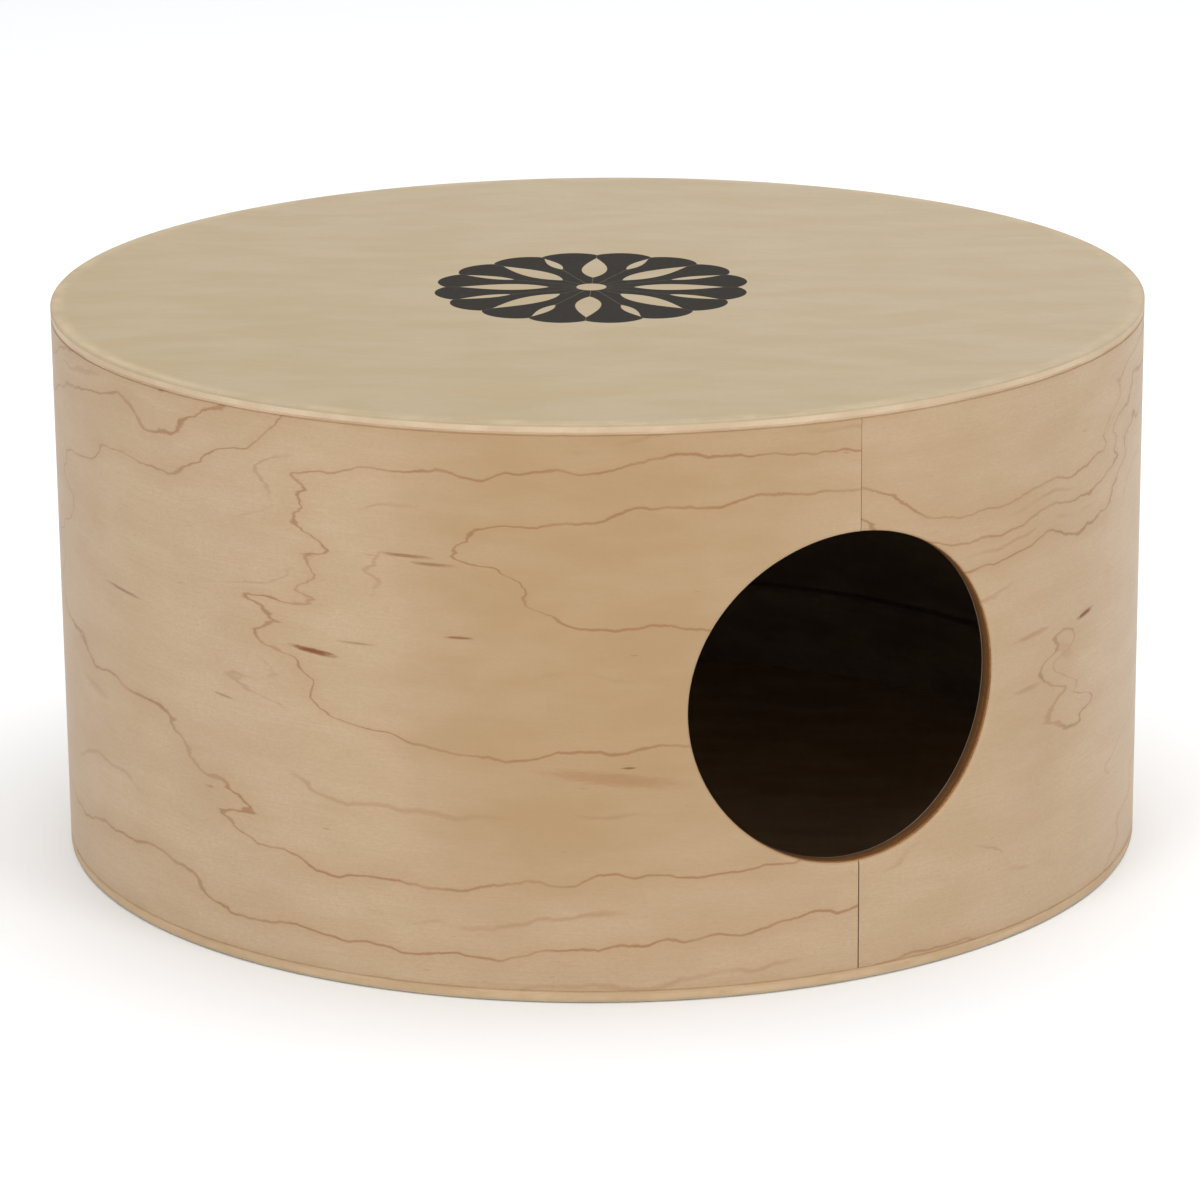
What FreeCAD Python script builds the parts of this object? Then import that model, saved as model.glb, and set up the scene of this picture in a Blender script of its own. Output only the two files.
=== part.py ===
"""Round two-sided snare cajon, in millimetres.

A moulded plywood shell with a sound hole drilled on its veneer seam, a glued hoop inside each
rim, a thin three-ply plate glued over each end, and a fixed snare under the upper plate: two
blocks screwed to the upper hoop, a steel end plate on each, and coiled strands between them.

Origin: centre of the lower plate's outer face. +Z is up, towards the snare-side plate, and the
sound hole looks along -Y. The strands run along X.
"""

import FreeCAD
import Part
import math
import os

V = FreeCAD.Vector
UP = V(0, 0, 1)

# ---- Driving dimensions ----

INCH = 25.4
OUTER_RADIUS = 12.0 * INCH / 2
HEIGHT = 155.0

PLATE_THICKNESS = 3.0
PLATE_FACE_PLY = 0.8
PLATE_EDGE_RADIUS = 1.5
JOINT_CHAMFER = 0.3

SHELL_THICKNESS = 5.5
SHELL_VENEER = 0.6

HOLE_RADIUS = 3.5 * INCH / 2
HOLE_OUTER_ROUNDING = 1.2
HOLE_INNER_ROUNDING = 0.4

SEAM_OFFSET = 1.4
SEAM_GAP_AT_TOP = 0.12
SEAM_GAP_AT_BOTTOM = 0.4

HOOP_THICKNESS = 5.5
HOOP_HEIGHT = 1.0 * INCH
HOOP_EASING = 1.2
HOOP_JOINT_GAP = 0.3
HOOP_JOINT_SLANT = 62.0
HOOP_JOINT_AT = 130.0

STRAND_COUNT = 12
STRAND_PITCH = 4.0
STRAND_RADIUS = 1.1
STRAND_CLEARANCE = 0.05
STRAND_FLAT_HALF = 82.0
STRAND_RISE_START = 104.0
STRAND_STEP = 2.65
STRAND_HALF_LENGTH = 116.5
STRAND_BEND_RADIUS = 45.0

END_PLATE_THICKNESS = 1.0
END_PLATE_WIDTH = 56.0
END_PLATE_INNER_X = 107.0
END_PLATE_OUTER_X = 134.0
END_PLATE_CORNER = 2.5
SLOT_LENGTH = 7.0
SLOT_WIDTH = 3.8

BLOCK_INNER_X = 118.5
BLOCK_WIDTH = 66.0
BLOCK_HEIGHT = 16.0
BLOCK_BEVEL = 6.0

PLATE_SCREW_X = 126.5
PLATE_SCREW_Y = 16.0
PLATE_SCREW_LENGTH = 12.0
BLOCK_SCREW_Y = 25.0
BLOCK_SCREW_LENGTH = 29.0
SCREW_SHANK_RADIUS = 1.6
SCREW_HEAD_RADIUS = 3.3
SCREW_HEAD_HEIGHT = 2.0
SCREW_TIP_LENGTH = 3.0
SCREW_TIP_RADIUS = 0.2
RECESS_WIDTH = 0.9
RECESS_LENGTH = 3.6
RECESS_DEPTH = 1.2

# ---- Worked out from them ----

SHELL_BOTTOM = PLATE_THICKNESS
SHELL_TOP = HEIGHT - PLATE_THICKNESS
HOLE_CENTRE = V(0, 0, HEIGHT / 2)
SHELL_INNER_RADIUS = OUTER_RADIUS - SHELL_THICKNESS
CORE_OUTER_RADIUS = OUTER_RADIUS - SHELL_VENEER
CORE_INNER_RADIUS = SHELL_INNER_RADIUS + SHELL_VENEER
HOOP_INNER_RADIUS = SHELL_INNER_RADIUS - HOOP_THICKNESS
STRAND_TOP_LEVEL = SHELL_TOP - STRAND_CLEARANCE - STRAND_RADIUS
END_PLATE_TOP = STRAND_TOP_LEVEL - STRAND_STEP - STRAND_RADIUS
BLOCK_TOP = END_PLATE_TOP - END_PLATE_THICKNESS
BLOCK_BOTTOM = BLOCK_TOP - BLOCK_HEIGHT
BLOCK_SCREW_Z = BLOCK_BOTTOM + BLOCK_HEIGHT / 2
SLACK = 10.0
TOLERANCE = 0.01
ALONG = 0.99


def revolved(profile):
    """A full turn about Z of a closed profile of (radius, height) points."""
    points = [V(radius, 0, height) for radius, height in profile]
    face = Part.Face(Part.makePolygon(points + points[:1]))
    return face.revolve(V(0, 0, 0), UP, 360)


def tube(inner, outer, low, high):
    """A plain ring about Z."""
    return revolved([(inner, low), (outer, low), (outer, high), (inner, high)])


def ring_edges(shape, radius, height):
    """The circular edges of that radius and height about Z."""
    found = []
    for edge in shape.Edges:
        point = edge.valueAt(edge.FirstParameter)
        circle = hasattr(edge.Curve, "Radius") and abs(edge.Curve.Radius - radius) < TOLERANCE
        if circle and abs(point.z - height) < TOLERANCE and abs(edge.Curve.Axis.z) > ALONG:
            found.append(edge)
    return found


# ---- Shell ----


def hole_edges(shape, wall_radius):
    """The sound hole's edges where it leaves the wall of that radius."""
    found = []
    for edge in shape.Edges:
        middle = edge.valueAt((edge.FirstParameter + edge.LastParameter) / 2)
        across = math.hypot(middle.x - HOLE_CENTRE.x, middle.z - HOLE_CENTRE.z)
        on_hole = abs(across - HOLE_RADIUS) < TOLERANCE
        if on_hole and abs(math.hypot(middle.x, middle.y) - wall_radius) < TOLERANCE:
            found.append(edge)
    return found


def shell_blank():
    """The whole wall, with chamfered outer rims and a rounded sound hole."""
    wall = revolved(
        [
            (SHELL_INNER_RADIUS, SHELL_BOTTOM),
            (OUTER_RADIUS - JOINT_CHAMFER, SHELL_BOTTOM),
            (OUTER_RADIUS, SHELL_BOTTOM + JOINT_CHAMFER),
            (OUTER_RADIUS, SHELL_TOP - JOINT_CHAMFER),
            (OUTER_RADIUS - JOINT_CHAMFER, SHELL_TOP),
            (SHELL_INNER_RADIUS, SHELL_TOP),
        ]
    )
    drill = Part.makeCylinder(HOLE_RADIUS, OUTER_RADIUS + SLACK, HOLE_CENTRE, V(0, -1, 0))
    wall = wall.cut(drill)
    wall = wall.makeFillet(HOLE_OUTER_ROUNDING, hole_edges(wall, OUTER_RADIUS))
    return wall.makeFillet(HOLE_INNER_ROUNDING, hole_edges(wall, SHELL_INNER_RADIUS))


def seam_gap():
    """The open butt joint of the face veneer, a sliver that widens towards the lower rim."""
    corners = [
        V(SEAM_OFFSET - SEAM_GAP_AT_TOP / 2, -OUTER_RADIUS - SLACK, SHELL_TOP),
        V(SEAM_OFFSET + SEAM_GAP_AT_TOP / 2, -OUTER_RADIUS - SLACK, SHELL_TOP),
        V(SEAM_OFFSET + SEAM_GAP_AT_BOTTOM / 2, -OUTER_RADIUS - SLACK, SHELL_BOTTOM),
        V(SEAM_OFFSET - SEAM_GAP_AT_BOTTOM / 2, -OUTER_RADIUS - SLACK, SHELL_BOTTOM),
    ]
    face = Part.Face(Part.makePolygon(corners + corners[:1]))
    return face.extrude(V(0, 2 * SLACK, 0))


def shell_layers(screws):
    """Face veneer, core plies and lining veneer, cut from one wall."""
    wall = shell_blank()

    def layer(inner, outer):
        return wall.common(tube(inner, outer, 0, HEIGHT))

    face = layer(CORE_OUTER_RADIUS, OUTER_RADIUS + SLACK).cut(seam_gap())
    core = layer(CORE_INNER_RADIUS, CORE_OUTER_RADIUS).cut(screws)
    lining = layer(HOOP_INNER_RADIUS, CORE_INNER_RADIUS).cut(screws)
    return {"shell_face_veneer": face, "shell_core_plies": core, "shell_lining_veneer": lining}


# ---- Hoops ----


def bent_hoop():
    """The hoop in the upper rim, its free lower edge eased and its slanted end joint open."""
    free_edge = SHELL_TOP - HOOP_HEIGHT
    ring = tube(HOOP_INNER_RADIUS, SHELL_INNER_RADIUS, free_edge, SHELL_TOP)
    ring = ring.makeChamfer(HOOP_EASING, ring_edges(ring, HOOP_INNER_RADIUS, free_edge))
    length = 4 * HOOP_THICKNESS
    saw = Part.makeBox(length, HOOP_JOINT_GAP, HEIGHT, V(-length / 2, -HOOP_JOINT_GAP / 2, 0))
    saw.rotate(V(0, 0, 0), UP, HOOP_JOINT_SLANT)
    saw.translate(V((HOOP_INNER_RADIUS + SHELL_INNER_RADIUS) / 2, 0, 0))
    saw.rotate(V(0, 0, 0), UP, HOOP_JOINT_AT)
    return ring.cut(saw)


# ---- Plates ----


def plate_plies(prefix, outer_level, towards_inside):
    """Face, core and inner ply of one plate, whose outer rim is rounded over.

    towards_inside is 1 where the drum lies above the outer face and -1 where it lies below.
    """
    inner_level = outer_level + towards_inside * PLATE_THICKNESS
    low, high = sorted((outer_level, inner_level))
    blank = Part.makeCylinder(OUTER_RADIUS, PLATE_THICKNESS, V(0, 0, low), UP)
    blank = blank.makeFillet(PLATE_EDGE_RADIUS, ring_edges(blank, OUTER_RADIUS, outer_level))
    inner_rim = ring_edges(blank, OUTER_RADIUS, inner_level)
    blank = blank.makeChamfer(JOINT_CHAMFER, inner_rim)
    face_end = outer_level + towards_inside * PLATE_FACE_PLY
    core_end = inner_level - towards_inside * PLATE_FACE_PLY
    plies = {}
    for name, start, end in (
        ("face_ply", outer_level, face_end),
        ("core_ply", face_end, core_end),
        ("inner_ply", core_end, inner_level),
    ):
        bottom, top = sorted((start, end))
        slab = Part.makeCylinder(OUTER_RADIUS + SLACK, top - bottom, V(0, 0, bottom), UP)
        plies[f"{prefix}_{name}"] = blank.common(slab)
    return plies


# ---- Snare ----


def screw(seat, into, length):
    """A pan-head screw: seat is the point under its head, into the way that it is driven."""
    head = Part.makeCylinder(SCREW_HEAD_RADIUS, SCREW_HEAD_HEIGHT, V(0, 0, 0), UP)
    rim = ring_edges(head, SCREW_HEAD_RADIUS, SCREW_HEAD_HEIGHT)
    head = head.makeFillet(SCREW_HEAD_HEIGHT / 2, rim)
    for turn in (0, 90):
        slot = Part.makeBox(
            RECESS_LENGTH,
            RECESS_WIDTH,
            RECESS_DEPTH,
            V(-RECESS_LENGTH / 2, -RECESS_WIDTH / 2, SCREW_HEAD_HEIGHT - RECESS_DEPTH),
        )
        slot.rotate(V(0, 0, 0), UP, turn)
        head = head.cut(slot)
    straight = length - SCREW_TIP_LENGTH
    shank = Part.makeCylinder(SCREW_SHANK_RADIUS, straight, V(0, 0, 0), V(0, 0, -1))
    tip = Part.makeCone(
        SCREW_SHANK_RADIUS, SCREW_TIP_RADIUS, SCREW_TIP_LENGTH, V(0, 0, -straight), V(0, 0, -1)
    )
    whole = head.fuse([shank, tip]).removeSplitter()
    whole.Placement = FreeCAD.Placement(seat, FreeCAD.Rotation(V(0, 0, -1), into))
    return whole


def end_plate_screws():
    """Two screws down through each end plate into its block."""
    return [
        screw(V(side * PLATE_SCREW_X, y, END_PLATE_TOP), V(0, 0, -1), PLATE_SCREW_LENGTH)
        for side in (-1, 1)
        for y in (-PLATE_SCREW_Y, PLATE_SCREW_Y)
    ]


def block_screws():
    """Two screws out through each block and the hoop into the shell's core."""
    return [
        screw(V(side * BLOCK_INNER_X, y, BLOCK_SCREW_Z), V(side, 0, 0), BLOCK_SCREW_LENGTH)
        for side in (-1, 1)
        for y in (-BLOCK_SCREW_Y, BLOCK_SCREW_Y)
    ]


def snare_block(side, screws):
    """A hardwood block whose back fits the hoop's curve, bevelled under its inner edge."""
    drum = Part.makeCylinder(HOOP_INNER_RADIUS, BLOCK_HEIGHT, V(0, 0, BLOCK_BOTTOM), UP)
    profile = [
        V(BLOCK_INNER_X, 0, BLOCK_TOP),
        V(BLOCK_INNER_X, 0, BLOCK_BOTTOM + BLOCK_BEVEL),
        V(BLOCK_INNER_X + BLOCK_BEVEL, 0, BLOCK_BOTTOM),
        V(OUTER_RADIUS, 0, BLOCK_BOTTOM),
        V(OUTER_RADIUS, 0, BLOCK_TOP),
    ]
    face = Part.Face(Part.makePolygon(profile + profile[:1]))
    face.translate(V(0, -BLOCK_WIDTH / 2, 0))
    block = face.extrude(V(0, BLOCK_WIDTH, 0)).common(drum)
    if side < 0:
        block = block.mirror(V(0, 0, 0), V(1, 0, 0))
    return block.cut(screws)


def end_plate(side):
    """A stamped steel plate with two slots, by which the strands are pulled straight."""
    depth = END_PLATE_OUTER_X - END_PLATE_INNER_X
    corner = V(END_PLATE_INNER_X, -END_PLATE_WIDTH / 2, BLOCK_TOP)
    plate = Part.makeBox(depth, END_PLATE_WIDTH, END_PLATE_THICKNESS, corner)
    uprights = [edge for edge in plate.Edges if abs(edge.tangentAt(0).z) > ALONG]
    plate = plate.makeFillet(END_PLATE_CORNER, uprights)
    straight = (SLOT_LENGTH - SLOT_WIDTH) / 2
    for y in (-PLATE_SCREW_Y, PLATE_SCREW_Y):
        for end in (-straight, straight):
            centre = V(PLATE_SCREW_X + end, y, BLOCK_TOP)
            plate = plate.cut(Part.makeCylinder(SLOT_WIDTH / 2, SLACK, centre, UP))
        start = V(PLATE_SCREW_X - straight, y - SLOT_WIDTH / 2, BLOCK_TOP)
        plate = plate.cut(Part.makeBox(2 * straight, SLOT_WIDTH, SLACK, start))
    if side < 0:
        plate = plate.mirror(V(0, 0, 0), V(1, 0, 0))
    return plate.removeSplitter()


def rounded_path(points, radius):
    """Straight runs through the points, joined by tangent arcs of that radius."""
    edges = []
    start = points[0]
    for before, corner, after in zip(points, points[1:], points[2:]):
        back = (before - corner).normalize()
        ahead = (after - corner).normalize()
        half_turn = (math.pi - back.getAngle(ahead)) / 2
        reach = radius * math.tan(half_turn)
        middle = (back + ahead).normalize() * (radius / math.cos(half_turn) - radius)
        arc_start = corner + back * reach
        arc_end = corner + ahead * reach
        edges.append(Part.LineSegment(start, arc_start).toShape())
        edges.append(Part.Arc(arc_start, corner + middle, arc_end).toShape())
        start = arc_end
    edges.append(Part.LineSegment(start, points[-1]).toShape())
    return Part.Wire(edges)


def snare_strand(y):
    """One strand's outer form: flat under the plate, stepping down to the end plates."""
    low = END_PLATE_TOP + STRAND_RADIUS
    half = [
        V(STRAND_HALF_LENGTH, y, low),
        V(STRAND_RISE_START, y, low),
        V(STRAND_FLAT_HALF, y, STRAND_TOP_LEVEL),
    ]
    path = rounded_path([V(-p.x, p.y, p.z) for p in half] + half[::-1], STRAND_BEND_RADIUS)
    profile = Part.Wire(Part.makeCircle(STRAND_RADIUS, V(-half[0].x, y, low), V(1, 0, 0)))
    return path.makePipeShell([profile], True, False)


def snare_strands():
    """All strands, side by side about the middle of the plate."""
    first = -(STRAND_COUNT - 1) / 2 * STRAND_PITCH
    return {
        f"snare_strand_{number + 1:02d}": snare_strand(first + number * STRAND_PITCH)
        for number in range(STRAND_COUNT)
    }


def all_nodes():
    """Every node by name, each a solid or a group of separate solids."""
    into_blocks = end_plate_screws()
    into_shell = block_screws()
    nodes = shell_layers(into_shell)
    nodes["upper_hoop"] = bent_hoop().cut(into_shell)
    nodes["lower_hoop"] = bent_hoop().mirror(HOLE_CENTRE, UP)
    nodes.update(plate_plies("top_plate", HEIGHT, -1))
    nodes.update(plate_plies("bottom_plate", 0, 1))
    for name, side in (("left", -1), ("right", 1)):
        nodes[f"snare_block_{name}"] = snare_block(side, into_blocks + into_shell)
        nodes[f"snare_end_plate_{name}"] = end_plate(side)
    nodes["end_plate_screws"] = Part.makeCompound(into_blocks)
    nodes["block_screws"] = Part.makeCompound(into_shell)
    nodes.update(snare_strands())
    return nodes


os.makedirs("parts", exist_ok=True)
for node, shape in all_nodes().items():
    box = shape.BoundBox
    print(
        f"{node}: {len(shape.Solids)} solid(s), {shape.Volume / 1000:.3f} cm3, "
        f"valid {shape.isValid()}, x {box.XMin:.1f}..{box.XMax:.1f}, "
        f"y {box.YMin:.1f}..{box.YMax:.1f}, z {box.ZMin:.1f}..{box.ZMax:.1f}"
    )
    shape.exportStep(f"parts/{node}.step")
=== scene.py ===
"""Looks for a round snare cajon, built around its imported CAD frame.

The wall is a laminate of three sheets, each drilled flat and bent round. The plates are turned
from a blank and split into plies. The snare is wound wire. Lengths are in metres, apart from
names that end in MM and the figure's marks: the finishes measure the wood in millimetres.
"""
import math

import bmesh
import bpy
from mathutils import Euler, Matrix, Vector


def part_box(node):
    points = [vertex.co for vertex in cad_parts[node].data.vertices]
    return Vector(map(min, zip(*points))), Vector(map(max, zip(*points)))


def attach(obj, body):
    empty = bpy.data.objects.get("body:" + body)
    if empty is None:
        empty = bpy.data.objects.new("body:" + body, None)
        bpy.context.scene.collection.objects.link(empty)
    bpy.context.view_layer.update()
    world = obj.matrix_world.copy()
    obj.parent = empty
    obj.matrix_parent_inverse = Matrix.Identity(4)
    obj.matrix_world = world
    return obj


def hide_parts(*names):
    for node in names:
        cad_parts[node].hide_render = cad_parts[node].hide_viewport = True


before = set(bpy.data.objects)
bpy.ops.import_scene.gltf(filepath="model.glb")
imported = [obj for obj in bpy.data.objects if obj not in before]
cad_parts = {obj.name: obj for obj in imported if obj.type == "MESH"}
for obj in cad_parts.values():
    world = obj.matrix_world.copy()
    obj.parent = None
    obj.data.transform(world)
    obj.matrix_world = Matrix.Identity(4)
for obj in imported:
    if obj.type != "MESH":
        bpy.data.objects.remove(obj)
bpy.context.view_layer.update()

MM = 0.001

# ---- Sizes: the large ones are taken from the frame ----

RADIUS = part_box("shell_face_veneer")[1].x
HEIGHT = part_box("top_plate_face_ply")[1].z
SHELL_LOW, SHELL_HIGH = (corner.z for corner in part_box("shell_face_veneer"))
VENEER_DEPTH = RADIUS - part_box("shell_core_plies")[1].x
LINING_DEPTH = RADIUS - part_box("shell_lining_veneer")[1].x
WALL_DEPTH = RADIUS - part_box("upper_hoop")[1].x
HOLE_HEIGHT = HEIGHT / 2
HOLE_RADIUS = 44.45 * MM
PLATE_EDGE_RADIUS = 1.5 * MM
JOINT_CHAMFER = 0.3 * MM
HOLE_OUTER_ROUNDING = 1.2 * MM
HOLE_INNER_ROUNDING = 0.4 * MM
SEAM_OFFSET = 1.4 * MM
SEAM_GAP_AT_TOP = 0.12 * MM
SEAM_GAP_AT_BOTTOM = 0.4 * MM

PLATE_DEPTH = HEIGHT - SHELL_HIGH
FACE_PLY_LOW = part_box("top_plate_face_ply")[0].z
CORE_PLY_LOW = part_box("top_plate_core_ply")[0].z
PLATE_INSETS = (1 * MM, 6 * MM)
WALL_LENGTH = 2 * math.pi * RADIUS
WALL_LENGTH_MM = WALL_LENGTH / MM
HEIGHT_MM = HEIGHT / MM
CORE_PLY_DEPTH_MM = 1.43

STRAND_COUNT = 12
STRAND_PITCH = 4 * MM
STRAND_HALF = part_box("snare_strand_01")[1].x
STRAND_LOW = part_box("snare_end_plate_left")[1].z + 1.1 * MM
STRAND_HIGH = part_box("snare_strand_01")[1].z - 1.1 * MM
STRAND_FOOT = 107 * MM
STRAND_SHOULDER = 79 * MM
WIRE_RADIUS = 0.22 * MM
WIRE_SIDES = 6
TURN_STEPS = 12
COIL_RADIUS = 0.87 * MM
COIL_PITCH = 0.95 * MM

# ---- Tolerances and steps of the modelling ----

SLIVER = 0.001 * MM
HAIR = 0.01 * MM
WALL_MERGE = 0.004 * MM
WIRE_MERGE = 0.002 * MM
ROUND_STEPS = 240
WALL_ROWS = 36
# The square window of cells that makes room for the sound hole's loop in the flat sheet.
WINDOW_CELLS = 28
WINDOW_MARGIN = 1.02
WINDOW_CUTS = 3
HOLE_EDGE_REACH = 0.02 * MM
HOLE_MARGIN = 1.1
HOLE_WALL_CUTS = 6
EDGE_CROWDING = 1.8
CORE_CROWDING = 1.6
SEAM_SEARCH = 15 * MM
PLATE_EDGE_STEPS = 8

# ---- Figure of the face veneer ----

# Handles of two curves along the wall, as shares of its length and of the object's height: how
# high the heart of the figure runs, and how far into the years the sheet is cut there.
HEART_LINE = (
    (0, 0.73), (0.1, 0.72), (0.16, 0.7), (0.21, 0.66), (0.27, 0.62), (0.34, 0.58), (0.45, 0.45),
    (0.54, 0.4), (0.65, 0.52), (0.75, 0.62), (0.84, 0.59), (0.88, 0.52), (0.922, 0.42),
    (0.965, 0.44), (1, 0.48),
)
HEART_DEPTH = (
    (0, 0), (0.05, 0.013), (0.107, 0.09), (0.136, 0.18), (0.162, 0.284), (0.184, 0.42), (0.216, 0.48),
    (0.27, 0.5), (0.345, 0.555), (0.42, 0.45), (0.5, 0.19), (0.585, 0.05), (0.67, 0.13), (0.75, 0.355),
    (0.835, 0.387), (0.88, 0.33), (0.922, 0.283), (0.966, 0.36), (1, 0.32),
)
# How deep the sheet's colour is along the wall, from pale to deep: partly the veneer's own tone, and partly
# painted sheen, pale where the soft boxes' sheens fall on the wall and deep between them.
TONE_AND_PAINTED_SHEEN = (
    (0, 0.45), (0.04, 0.8), (0.075, 0.9), (0.12, 0.6), (0.17, 0.1), (0.23, 0.25), (0.3, 0.6),
    (0.45, 0.4), (0.6, 0.75), (0.75, 0.3), (0.86, 0.15), (0.93, 0.3), (1, 0.5),
)
HEART_WIDTH_MM = 12
# How much closer the years lie above the heart than below it.
YEARS_CROWDED = 0.41
YEAR_RINGS_MM = (14, 44, 78, 97, 116)
FALSE_RINGS_MM = (28, 60, 88, 107)
# Each mark's place along the wall and up it, its length and its thickness, all in mm, and then
# its lean and its depth of colour.
VENEER_STREAKS = (
    (119, 118.8, 15, 1.2, 0.02, 0.6),
    (112, 117.0, 13, 1.1, 0.02, 0.55),
    (219, 92.5, 20, 1.1, 0.03, 0.6),
    (146, 90.3, 15, 1.9, 0.07, 0.95),
    (105, 98.0, 9, 0.9, 0, 0.7),
    (133, 94.0, 13, 0.8, 0, 0.4),
    (176, 73.0, 9, 0.9, 0.1, 0.4),
    (870, 82.5, 10, 1.8, -0.12, 1.0),
    (62, 64.0, 4, 0.7, 0, 0.8),
    (300, 47.0, 12, 1.0, 0.1, 0.6),
    (410, 88.0, 17, 1.1, -0.1, 0.7),
    (535, 60.0, 10, 0.9, 0.05, 0.6),
    (690, 112.0, 13, 1.0, 0.05, 0.7),
    (742, 40.0, 9, 0.9, -0.1, 0.5),
)

VENEER_SMUDGES = (
    (66, 61.0, 42, 4.5, 0.1, 0.5),
    (240, 60.0, 20, 3.0, 0.1, 0.3),
    (560, 118.0, 34, 4.0, -0.08, 0.45),
    (775, 66.0, 30, 4.0, 0.05, 0.4),
    (897, 83.0, 17, 2.0, -0.08, 0.5),
    (899, 68.5, 13, 1.8, -0.06, 0.4),
    (881, 75.0, 9, 6.0, 0.35, 0.25),
)

# ---- Colours ----

VENEER_PALE_AND_PAINTED_SHEEN = (0.51, 0.378, 0.25, 1)
VENEER_DEEP = (0.355, 0.23, 0.112, 1)
VENEER_SHADE = (0.4, 0.25, 0.13, 1)
VENEER_FIBRE = (0.36, 0.23, 0.125, 1)
VENEER_PORE = (0.29, 0.175, 0.095, 1)
VENEER_LINE = (0.26, 0.115, 0.045, 1)
VENEER_MINERAL = (0.18, 0.06, 0.012, 1)
VENEER_SMUDGE = (0.31, 0.15, 0.07, 1)
PLATE_PALE_AND_PAINTED_SHEEN = (0.445, 0.375, 0.275, 1)
PLATE_DEEP = (0.395, 0.312, 0.2, 1)
PLATE_BAND = (0.46, 0.345, 0.2, 1)
PLATE_FIBRE = (0.4, 0.31, 0.19, 1)
PLATE_PORE = (0.3, 0.22, 0.13, 1)
PLATE_RIM_PAINTED_HIGHLIGHT = (0.56, 0.44, 0.3, 1)
# The playing plate's ply colours: the wood's own, made pale cream for a painted highlight along the top
# rim.
RIM_PALE_WITH_PAINTED_HIGHLIGHT = (0.54, 0.4, 0.26, 1)
RIM_DEEP = (0.42, 0.28, 0.16, 1)
RIM_CORE_PALE_WITH_PAINTED_HIGHLIGHT = (0.58, 0.455, 0.31, 1)
RIM_CORE_DEEP_WITH_PAINTED_HIGHLIGHT = (0.5, 0.37, 0.24, 1)
# The foot plate's ply colours: a darker, warmer copy of the same plies' colours, painted shade and warm
# bounce light near the floor.
FOOT_PALE_WITH_PAINTED_LIGHT = (0.53, 0.375, 0.23, 1)
FOOT_DEEP_WITH_PAINTED_LIGHT = (0.45, 0.305, 0.17, 1)
CORE_PALE = (0.44, 0.21, 0.075, 1)
CORE_DEEP = (0.28, 0.125, 0.042, 1)
CORE_GLUE_AND_PAINTED_SHADE = (0.06, 0.026, 0.01, 1)
INSIDE_PALE = (0.35, 0.275, 0.205, 1)
INSIDE_DEEP = (0.24, 0.185, 0.135, 1)
BLOCK_PALE = (0.32, 0.2, 0.11, 1)
BLOCK_DEEP = (0.2, 0.12, 0.065, 1)
INK = (0.008, 0.007, 0.006, 1)
WIRE_CLEAN = (0.62, 0.6, 0.56, 1)
WIRE_DULL = (0.36, 0.33, 0.29, 1)
STAMPED_CLEAN = (0.58, 0.57, 0.55, 1)
STAMPED_DULL = (0.34, 0.32, 0.29, 1)
SCREW_CLEAN = (0.66, 0.65, 0.6, 1)
SCREW_DULL = (0.4, 0.37, 0.31, 1)
FLOOR_DEEP = (0.925, 0.935, 0.947, 1)
FLOOR_PALE = (0.94, 0.95, 0.962, 1)

PLATE_GRAIN_TURN = math.radians(-27.8)
ROSETTE_PETALS = 8
ROSETTE_RADIUS_MM = 44.2
ROSETTE_SCALLOP_MM = 3.4
ROSETTE_EYE_MM = 4.2
ROSETTE_SHIFT_MM = (-1.7, 1.1, 0)

# ---- Studio ----

FLOOR_DROP = 0.2 * MM
FLOOR_WIDTH = 14
AIR_STRENGTH = 0.42
AIR_SEEN = 1.0
# Each box's azimuth from the sound hole, height, distance, width and height of its face, power.
SOFT_BOXES = {
    "left_soft_box": (-58, 0.9, 2.4, 0.9, 1.2, 22),
    "right_soft_box": (20, 0.8, 2.4, 0.8, 1.2, 18),
    "top_soft_box": (125, 2.6, 0.4, 3, 3, 68),
}
CAMERA_LENS_MM = 149.34
CAMERA_SENSOR_MM = 36
CAMERA_DISTANCE = 1.439
CAMERA_AZIMUTH = -25.5
CAMERA_ELEVATION = 18.952
CAMERA_TILT = 16.514
CAMERA_ROLL = -0.489


# ---- Bench tools: selecting and shaping in edit mode ----


def start_bench():
    """Nothing selected, so that an operator only touches the piece being made."""
    if bpy.context.object and bpy.context.object.mode != "OBJECT":
        bpy.ops.object.mode_set(mode="OBJECT")
    bpy.ops.object.select_all(action="DESELECT")


def into_edit(piece):
    """Only this piece selected, in edit mode, with nothing in it selected."""
    start_bench()
    bpy.context.view_layer.objects.active = piece
    piece.select_set(True)
    bpy.ops.object.mode_set(mode="EDIT")
    bpy.ops.mesh.select_mode(type="VERT")
    bpy.ops.mesh.select_all(action="DESELECT")


def out_of_edit():
    bpy.ops.object.mode_set(mode="OBJECT")
    return bpy.context.object


def pick(kind, test):
    """Select the verts, edges or faces whose centre and element pass the test, and no others."""
    modes = {"verts": "VERT", "edges": "EDGE", "faces": "FACE"}
    bpy.ops.mesh.select_all(action="DESELECT")
    bpy.ops.mesh.select_mode(type=modes[kind])
    mesh = bmesh.from_edit_mesh(bpy.context.object.data)
    for element in getattr(mesh, kind):
        if kind == "verts":
            centre = element.co
        elif kind == "edges":
            centre = (element.verts[0].co + element.verts[1].co) / 2
        else:
            centre = element.calc_center_median()
        if test(centre, element):
            element.select_set(True)
    mesh.select_flush(True)
    bmesh.update_edit_mesh(bpy.context.object.data)


def place_picked(move):
    """Put each selected vertex where move(co) says."""
    mesh = bmesh.from_edit_mesh(bpy.context.object.data)
    for vertex in mesh.verts:
        if vertex.select:
            vertex.co = move(vertex.co)
    bmesh.update_edit_mesh(bpy.context.object.data)


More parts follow.
